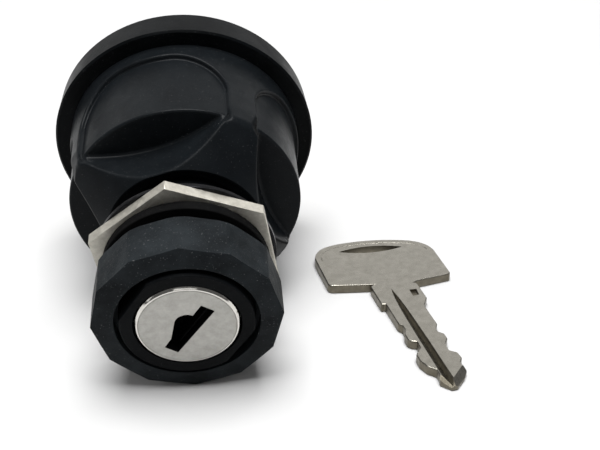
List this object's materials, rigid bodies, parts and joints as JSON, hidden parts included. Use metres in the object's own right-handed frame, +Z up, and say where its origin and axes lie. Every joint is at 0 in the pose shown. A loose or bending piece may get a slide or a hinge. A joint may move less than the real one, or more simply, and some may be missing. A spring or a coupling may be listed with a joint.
{
  "type": "keyed battery switch",
  "caption": "Round black battery isolator switch turned by a removable key, with a threaded panel neck, hexagon back nut, twelve-sided bezel ring, rear terminal studs and its loose key.",
  "frame": {"origin": "on the table, under the middle of the box around the switch and its key", "axes": "+Z up from the table; the key face points towards -Y, a little downwards, because the switch lies on its rear cover and its bezel ring; +X towards the side where the key lies"},
  "size_m": [0.081, 0.083, 0.0532],
  "materials": {
    "black_plastic": "fine moulded grain, satin black",
    "neck_plastic": "satin black moulded thread",
    "ring_plastic": "fine speckled grain, dull black",
    "black_steel": "blackened steel",
    "nickel": "bright nickel plate",
    "satin_nickel": "satin nickel plate, fine grain",
    "key_nickel": "tumbled nickel plate with handling marks",
    "zinc": "die-cast zinc",
    "zinc_plated": "bright zinc plate",
    "rubber": "black rubber",
    "brass": "rolled brass",
    "stud_brass": "tinned brass",
    "copper": "silvered copper",
    "spring_steel": "drawn spring wire",
    "red_plastic": "red moulded nylon"
  },
  "bodies": {
    "switch": {"rear_cover": "black_plastic", "cover_gasket": "rubber", "cover_screws": "zinc_plated", "body_housing": "black_plastic", "lock_housing": "neck_plastic", "housing_clip": "spring_steel", "neck_seal": "rubber", "stud_battery": "stud_brass", "stud_load": "stud_brass", "stud_washers": "zinc_plated", "stud_spring_washers": "zinc_plated", "stud_nuts": "zinc_plated"},
    "back_nut": {"hex_nut": "nickel", "flat_washer": "black_steel", "sealing_washer": "rubber"},
    "bezel": {"bezel_ring": "ring_plastic"},
    "plug": {"plug_face": "satin_nickel", "key_plug": "zinc", "plug_o_ring": "rubber", "plug_clip": "spring_steel", "rotor": "red_plastic", "contact_spring": "spring_steel", "wafer_spring_1": "spring_steel", "wafer_spring_2": "spring_steel", "wafer_spring_3": "spring_steel", "wafer_spring_4": "spring_steel", "wafer_spring_5": "spring_steel"},
    "contact": {"contact_bridge": "copper"},
    "loose_key": {"key": "key_nickel"},
    "wafer_body_1": {"wafer_1": "brass"},
    "wafer_body_2": {"wafer_2": "brass"},
    "wafer_body_3": {"wafer_3": "brass"},
    "wafer_body_4": {"wafer_4": "brass"},
    "wafer_body_5": {"wafer_5": "brass"}
  },
  "joints": [
    {"name": "plug_turn", "type": "hinge", "parent": "switch", "child": "plug", "pos_m": [-0.01388, -0.03974, 0.01629], "axis": [0, 0.983, 0.1837], "range_deg": [0, 90]},
    {"name": "contact_slide", "type": "slide", "parent": "plug", "child": "contact", "axis": [0, -0.983, -0.1837], "range_m": [0, 0.0006], "stiffness_N_per_m": 600, "springref_m": -0.003, "deforming": ["contact_spring"]},
    {"name": "nut_travel", "type": "slide", "parent": "switch", "child": "back_nut", "axis": [0, -0.983, -0.1837], "range_m": [-0.004, 0.0016]},
    {"name": "ring_travel", "type": "slide", "parent": "switch", "child": "bezel", "axis": [0, -0.983, -0.1837], "range_m": [-0.0016, 0.0095]},
    {"name": "key_slide", "type": "slide", "parent": "switch", "child": "loose_key", "axis": [1, 0, 0], "range_m": [0, 0.04]},
    {"name": "wafer_slide_1", "type": "slide", "parent": "plug", "child": "wafer_body_1", "axis": [-0.5446, 0.1541, -0.8244], "range_m": [0, 0.0009], "stiffness_N_per_m": 60, "springref_m": -0.0008, "deforming": ["wafer_spring_1"]},
    {"name": "wafer_slide_2", "type": "slide", "parent": "plug", "child": "wafer_body_2", "axis": [0.5446, -0.1541, 0.8244], "range_m": [0, 0.0009], "stiffness_N_per_m": 60, "springref_m": -0.0008, "deforming": ["wafer_spring_2"]},
    {"name": "wafer_slide_3", "type": "slide", "parent": "plug", "child": "wafer_body_3", "axis": [-0.5446, 0.1541, -0.8244], "range_m": [0, 0.0009], "stiffness_N_per_m": 60, "springref_m": -0.0008, "deforming": ["wafer_spring_3"]},
    {"name": "wafer_slide_4", "type": "slide", "parent": "plug", "child": "wafer_body_4", "axis": [0.5446, -0.1541, 0.8244], "range_m": [0, 0.0009], "stiffness_N_per_m": 60, "springref_m": -0.0008, "deforming": ["wafer_spring_4"]},
    {"name": "wafer_slide_5", "type": "slide", "parent": "plug", "child": "wafer_body_5", "axis": [-0.5446, 0.1541, -0.8244], "range_m": [0, 0.0009], "stiffness_N_per_m": 60, "springref_m": -0.0008, "deforming": ["wafer_spring_5"]}
  ]
}
